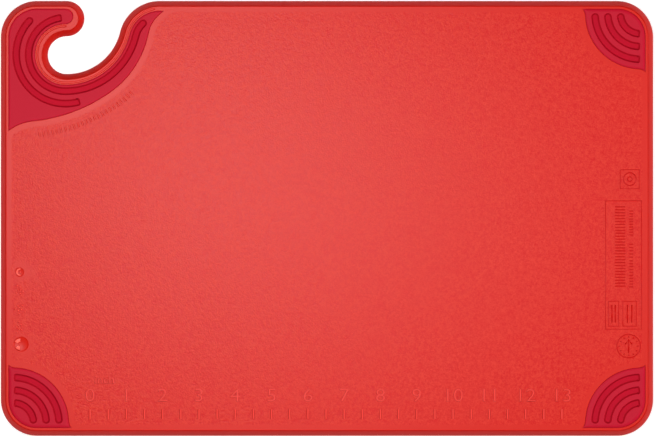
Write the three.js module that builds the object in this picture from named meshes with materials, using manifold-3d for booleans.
// A hooked cutting board with inlaid corner grips.
//
// The board is one polypropylene moulding with a hook cut into its rear left corner. Four soft
// elastomer grips are locked into it: one round the hook and one in each of the other corners.
// Each grip is a pad on either face, joined through the board by plugs, so both faces can be used.
//
// Millimetres. +X right along the ruler, +Y to the rear edge, +Z up.
// The origin is the centre of the board's footprint, on the surface that the board lies on.

import * as THREE from 'three';
import { mergeVertices } from 'three/addons/utils/BufferGeometryUtils.js';
import Module from 'manifold-3d';

const wasm = await Module();
wasm.setup();

// ---- Board ----
const LENGTH = 457.2;
const WIDTH = 304.8;
const OVERALL = 12.7; // over the grips of both faces
const PROUD = 0.35; // how far a grip stands above the face it is set in
const CORNER = 25.4; // corner radius
const EDGE_RUN = 4.4; // width of the sloping flank, seen from above
const EDGE_LAND = 1.0; // height of the upright land at the middle of the edge
const EDGE_STEPS = 3;

// ---- Hook ----
const HOOK_X = -182.4; // the opening, the mouth and the finger tip share this X
const OPENING_R = 13.2;
const OPENING_Y = 114.4;
const MOUTH_R = 38.4;
const SHOULDER_R = 28.6;

// ---- Grips ----
const RIM = 5.8; // board left between its outline and a grip
const HOOK_RIM = 8.1; // the same, round the hook's opening
const GAP = 0.3; // clearance between a grip and its pocket
const POCKET_DEPTH = 2.4;
const GROOVE_WIDTH = 5.0;
const GROOVE_DEPTH = 1.0;
const PLUG_R = 4.5;
const PLUG_CAP = 0.5; // pad left between a plug's end and a groove's floor

// ---- Corner grips: a quarter fan, measured inwards from the grip's own corner ----
const FAN_CENTRE = 3.4; // the same along both sides
const FAN_R = 38.7;
const FAN_FLARE_R = 8.0; // the fan's edge turns outwards before it meets each side
const FAN_FLARE_START = 5.0;
const FAN_GROOVE_R = 14.1; // innermost groove
const FAN_GROOVE_PITCH = 8.9;
const FAN_GROOVES = 3;
const FAN_GROOVE_FLAT_END = 4.0; // clear of the short side
const FAN_GROOVE_ROUND_END = 5.7; // end centre, from the long side
const FAN_PLUGS = [
    [11.5, 30.5],
    [30.5, 11.5],
    [22.5, 22.5],
];

// ---- Hook grip ----
const BAND_SHIFT_X = -0.6; // the grip's arcs sit a little off the opening's own centre
// Groove centres, from the grip's inner edge, and the directions in which each groove starts and ends.
const HOOK_GROOVE_LONG = 4.4;
const HOOK_GROOVE_LONG_ENDS = [96, 132];
const HOOK_GROOVE_SHORT = 13.1;
const HOOK_GROOVE_SHORT_ENDS = [287, 137];
const HOOK_GRIP_TIP = 86; // direction, from the shoulder's centre, in which the grip's thin end lies
const HOOK_PLUGS = [
    [-212.5, 137.0],
    [-214.5, 73.5],
    [-186.0, 79.5],
    [-160.0, 91.2],
    [-133.8, 121.0],
];
// The grip's edge on the field side, from the shoulder to the left side: [radius, turn].
const FIELD_EDGE_START = [-114.3, 144.9];
const FIELD_EDGE_HEADING = 212.1;
const FIELD_EDGE_BENDS = [
    [23.7, 46.8],
    [65.8, -43.4],
    [113.0, -29.8],
    [34.0, 31.4],
];

const ARC_STEPS_BOARD = 7;
const ARC_STEPS_GRIP = 5;
const ARC_STEPS_PLUG = 8;
const OVERCUT = 1.0; // how far a cutting shape runs past what it cuts

const { cos, sin, asin, acos, atan2, hypot, PI } = Math;
const rad = THREE.MathUtils.degToRad;
const top = WIDTH / 2;
const right = LENGTH / 2;

const POLYPROPYLENE_RED = 0xdc4640;
const ELASTOMER_CRIMSON = 0xc32a3c;
const plastic = (color, roughness) => new THREE.MeshStandardMaterial({ color, roughness, metalness: 0 });
const polypropylene = () => plastic(POLYPROPYLENE_RED, 0.45);
const elastomer = () => plastic(ELASTOMER_CRIMSON, 0.6);

// The hook's arcs run into each other smoothly, so each centre follows from its neighbours.
const openingCentre = { x: HOOK_X, y: OPENING_Y };
const tipR = (top - (OPENING_Y + OPENING_R)) / 2;
const tipCentre = { x: HOOK_X, y: top - tipR };
const mouthCentre = { x: HOOK_X, y: OPENING_Y - OPENING_R + MOUTH_R };
const shoulderY = top - SHOULDER_R;
const shoulderReach = Math.sqrt((MOUTH_R + SHOULDER_R) ** 2 - (mouthCentre.y - shoulderY) ** 2);
const shoulderCentre = { x: HOOK_X + shoulderReach, y: shoulderY };

function boardOutline() {
    const turn = atan2(shoulderCentre.y - mouthCentre.y, shoulderCentre.x - mouthCentre.x);
    const cx = right - CORNER;
    const cy = top - CORNER;
    const shape = new THREE.Shape();
    shape.absarc(-cx, -cy, CORNER, PI, 1.5 * PI, false);
    shape.absarc(cx, -cy, CORNER, 1.5 * PI, 2 * PI, false);
    shape.absarc(cx, cy, CORNER, 0, PI / 2, false);
    shape.absarc(shoulderCentre.x, shoulderCentre.y, SHOULDER_R, PI / 2, PI + turn, false);
    shape.absarc(mouthCentre.x, mouthCentre.y, MOUTH_R, turn, -PI / 2, true);
    shape.absarc(openingCentre.x, openingCentre.y, OPENING_R, -PI / 2, -1.5 * PI, true);
    shape.absarc(tipCentre.x, tipCentre.y, tipR, -PI / 2, PI / 2, false);
    shape.absarc(-cx, cy, CORNER, PI / 2, PI, false);
    return tidy(shape.getPoints(ARC_STEPS_BOARD));
}

// The arcs that the hook grip's inner edge and its grooves follow, at a distance from that edge.
function hookBand(offset, from, to) {
    const bandX = HOOK_X + BAND_SHIFT_X;
    const openY = OPENING_Y - BAND_SHIFT_X / 2;
    const openR = OPENING_R + HOOK_RIM;
    const bandMouthY = mouthCentre.y;
    const bandMouthR = bandMouthY - openY + openR;
    const dx = shoulderCentre.x - bandX;
    const dy = shoulderCentre.y - bandMouthY;
    const turn = atan2(dy, dx);
    const shoulderR = hypot(dx, dy) - bandMouthR;
    return [
        { x: bandX, y: openY, r: openR + offset, from, to: 1.5 * PI, clockwise: false },
        { x: bandX, y: bandMouthY, r: bandMouthR + offset, from: -PI / 2, to: turn, clockwise: false },
        { ...shoulderCentre, r: shoulderR - offset, from: turn + PI, to, clockwise: true },
    ];
}

// Round the opening and up the mouth to the thin end, back along the field, then round the finger.
function hookGripOutline() {
    const inner = hookBand(0, PI / 2, rad(HOOK_GRIP_TIP));
    const fingerLow = inner[0].y + inner[0].r;
    const fingerR = (top - RIM - fingerLow) / 2;
    const shape = new THREE.Shape();
    for (const arc of inner) {
        shape.absarc(arc.x, arc.y, arc.r, arc.from, arc.to, arc.clockwise);
    }
    bendPath(shape, FIELD_EDGE_START, FIELD_EDGE_HEADING, FIELD_EDGE_BENDS);
    shape.absarc(CORNER - right, top - CORNER, CORNER - RIM, PI, PI / 2, true);
    shape.absarc(inner[0].x, fingerLow + fingerR, fingerR, PI / 2, -PI / 2, true);
    return tidy(shape.getPoints(ARC_STEPS_GRIP));
}

function hookGrooves() {
    const long = hookBand(HOOK_GROOVE_LONG, ...HOOK_GROOVE_LONG_ENDS.map(rad));
    const [from, to] = HOOK_GROOVE_SHORT_ENDS.map(rad);
    const roundOpening = hookBand(HOOK_GROOVE_SHORT, from, to)[0];
    return [ribbon(long), ribbon([{ ...roundOpening, to, clockwise: true }])];
}

function fanOutline() {
    const along = asin((FAN_FLARE_START - FAN_CENTRE) / FAN_R);
    const flareOut = (FAN_R + FAN_FLARE_R) * cos(along) + FAN_CENTRE;
    const flareIn = (FAN_R + FAN_FLARE_R) * sin(along) + FAN_CENTRE;
    const meet = asin(flareIn / FAN_FLARE_R);
    const gripCorner = CORNER - RIM;
    const shape = new THREE.Shape();
    shape.absarc(gripCorner, gripCorner, gripCorner, PI, 1.5 * PI, false);
    shape.absarc(flareOut, flareIn, FAN_FLARE_R, PI + meet, PI + along, true);
    shape.absarc(FAN_CENTRE, FAN_CENTRE, FAN_R, along, PI / 2 - along, false);
    shape.absarc(flareIn, flareOut, FAN_FLARE_R, 1.5 * PI - along, 1.5 * PI - meet, true);
    return tidy(shape.getPoints(ARC_STEPS_GRIP));
}

function fanGrooves() {
    const grooves = [];
    for (let i = 0; i < FAN_GROOVES; i += 1) {
        const r = FAN_GROOVE_R + i * FAN_GROOVE_PITCH;
        const from = acos((FAN_GROOVE_FLAT_END - FAN_CENTRE) / r);
        const to = asin((FAN_GROOVE_ROUND_END - FAN_CENTRE) / r);
        const arc = { x: FAN_CENTRE, y: FAN_CENTRE, r, from, to, clockwise: true };
        grooves.push(ribbon([arc]));
    }
    return grooves;
}

// ---- Outline helpers ----

// A run of arcs, each tangent to the one before. A positive turn is to the left.
function bendPath(path, start, heading, bends) {
    let [x, y] = start;
    let direction = rad(heading);
    for (const [r, turn] of bends) {
        const side = Math.sign(turn);
        const cx = x - side * r * sin(direction);
        const cy = y + side * r * cos(direction);
        const from = direction - side * PI / 2;
        const to = from + rad(turn);
        path.absarc(cx, cy, r, from, to, side < 0);
        x = cx + r * cos(to);
        y = cy + r * sin(to);
        direction += rad(turn);
    }
}

// A groove's outline: a band along a run of tangent arcs, flat where it starts and round where it ends.
function ribbon(arcs) {
    const half = GROOVE_WIDTH / 2;
    const shape = new THREE.Shape();
    for (const arc of arcs) {
        shape.absarc(arc.x, arc.y, arc.r + (arc.clockwise ? -half : half), arc.from, arc.to, arc.clockwise);
    }
    const last = arcs[arcs.length - 1];
    const side = last.clockwise ? last.to + PI : last.to;
    const cx = last.x + last.r * cos(last.to);
    const cy = last.y + last.r * sin(last.to);
    shape.absarc(cx, cy, half, side, side + PI, false);
    for (const arc of [...arcs].reverse()) {
        shape.absarc(arc.x, arc.y, arc.r + (arc.clockwise ? half : -half), arc.to, arc.from, !arc.clockwise);
    }
    return tidy(shape.getPoints(ARC_STEPS_GRIP));
}

// Drops repeated points and makes the outline run anticlockwise.
function tidy(points) {
    const kept = points.filter((p, i) => p.distanceTo(points[(i + 1) % points.length]) > 0.02);
    return THREE.ShapeUtils.isClockWise(kept) ? kept.reverse() : kept;
}

// Moves an anticlockwise outline inwards by a distance, keeping its corners sharp.
function inset(points, distance) {
    return points.map((p, i) => {
        const before = points[(i + points.length - 1) % points.length];
        const after = points[(i + 1) % points.length];
        const a = new THREE.Vector2(before.y - p.y, p.x - before.x).normalize();
        const b = new THREE.Vector2(p.y - after.y, after.x - p.x).normalize();
        const mitre = a.clone().add(b).multiplyScalar(distance / (1 + a.dot(b)));
        return p.clone().add(mitre);
    });
}

// ---- Solid helpers ----

function solid(geometry) {
    const bare = geometry.clone();
    bare.deleteAttribute('normal');
    bare.deleteAttribute('uv');
    const merged = mergeVertices(bare, 1e-4);
    const vertProperties = new Float32Array(merged.attributes.position.array);
    const triVerts = new Uint32Array(merged.index.array);
    return new wasm.Manifold(new wasm.Mesh({ numProp: 3, vertProperties, triVerts }));
}

function prism(points, low, high) {
    const shape = new THREE.Shape(points);
    const geometry = new THREE.ExtrudeGeometry(shape, { depth: high - low, bevelEnabled: false });
    return solid(geometry.translate(0, 0, low));
}

function meshOf(name, manifold, material) {
    const { vertProperties, triVerts } = manifold.getMesh();
    const geometry = new THREE.BufferGeometry();
    geometry.setAttribute('position', new THREE.BufferAttribute(new Float32Array(vertProperties), 3));
    geometry.setIndex(new THREE.BufferAttribute(new Uint32Array(triVerts), 1));
    geometry.computeVertexNormals();
    const mesh = new THREE.Mesh(geometry, material);
    mesh.name = name;
    return mesh;
}

// ---- Pieces ----

const faceLow = PROUD;
const faceHigh = OVERALL - PROUD;
const pocketLow = faceLow + POCKET_DEPTH;
const pocketHigh = faceHigh - POCKET_DEPTH;

// The board before its pockets are cut: its edge slopes in to both faces.
function boardBlank() {
    const shape = new THREE.Shape(boardOutline());
    const slope = (faceHigh - faceLow - EDGE_LAND) / 2;
    const geometry = new THREE.ExtrudeGeometry(shape, {
        depth: EDGE_LAND,
        bevelThickness: slope,
        bevelSize: EDGE_RUN,
        bevelOffset: -EDGE_RUN,
        bevelSegments: EDGE_STEPS,
    });
    return solid(geometry.translate(0, 0, faceLow + slope));
}

function plug([x, y], radius, low, high) {
    const circle = new THREE.Shape();
    circle.absarc(x, y, radius, 0, 2 * PI, false);
    return prism(tidy(circle.getPoints(ARC_STEPS_PLUG)), low, high);
}

// Two pads joined by plugs, with the same grooves in both faces.
function grip(outline, grooves, plugs) {
    const pad = inset(outline, GAP);
    let piece = prism(pad, 0, pocketLow - GAP).add(prism(pad, pocketHigh + GAP, OVERALL));
    for (const at of plugs) {
        piece = piece.add(plug(at, PLUG_R, GROOVE_DEPTH + PLUG_CAP, OVERALL - GROOVE_DEPTH - PLUG_CAP));
    }
    for (const groove of grooves) {
        piece = piece.subtract(prism(groove, -OVERCUT, GROOVE_DEPTH));
        piece = piece.subtract(prism(groove, OVERALL - GROOVE_DEPTH, OVERALL + OVERCUT));
    }
    return piece;
}

// The room that a grip needs in the board: a pocket in each face and a hole for each plug.
function seat(outline, plugs) {
    let room = prism(outline, faceLow - OVERCUT, pocketLow);
    room = room.add(prism(outline, pocketHigh, faceHigh + OVERCUT));
    for (const at of plugs) {
        room = room.add(plug(at, PLUG_R + GAP, pocketLow - OVERCUT, pocketHigh + OVERCUT));
    }
    return room;
}

// Turns lengths measured inwards from a corner grip's own corner into the board's frame.
function atCorner(points, sideX, sideY) {
    return points.map((p) => {
        const [x, y] = Array.isArray(p) ? p : [p.x, p.y];
        return new THREE.Vector2(sideX * (right - RIM - x), sideY * (top - RIM - y));
    });
}

const corners = [
    ['rear_right_grip', 1, 1],
    ['front_left_grip', -1, -1],
    ['front_right_grip', 1, -1],
];

const cuttingBoard = new THREE.Group();
let board = boardBlank();

const hookOutline = hookGripOutline();
board = board.subtract(seat(hookOutline, HOOK_PLUGS));
cuttingBoard.add(meshOf('hook_grip', grip(hookOutline, hookGrooves(), HOOK_PLUGS), elastomer()));

for (const [name, sideX, sideY] of corners) {
    const outline = tidy(atCorner(fanOutline(), sideX, sideY));
    const grooves = fanGrooves().map((points) => tidy(atCorner(points, sideX, sideY)));
    const plugs = atCorner(FAN_PLUGS, sideX, sideY).map((p) => [p.x, p.y]);
    board = board.subtract(seat(outline, plugs));
    cuttingBoard.add(meshOf(name, grip(outline, grooves, plugs), elastomer()));
}

cuttingBoard.add(meshOf('board_body', board, polypropylene()));

export default cuttingBoard;
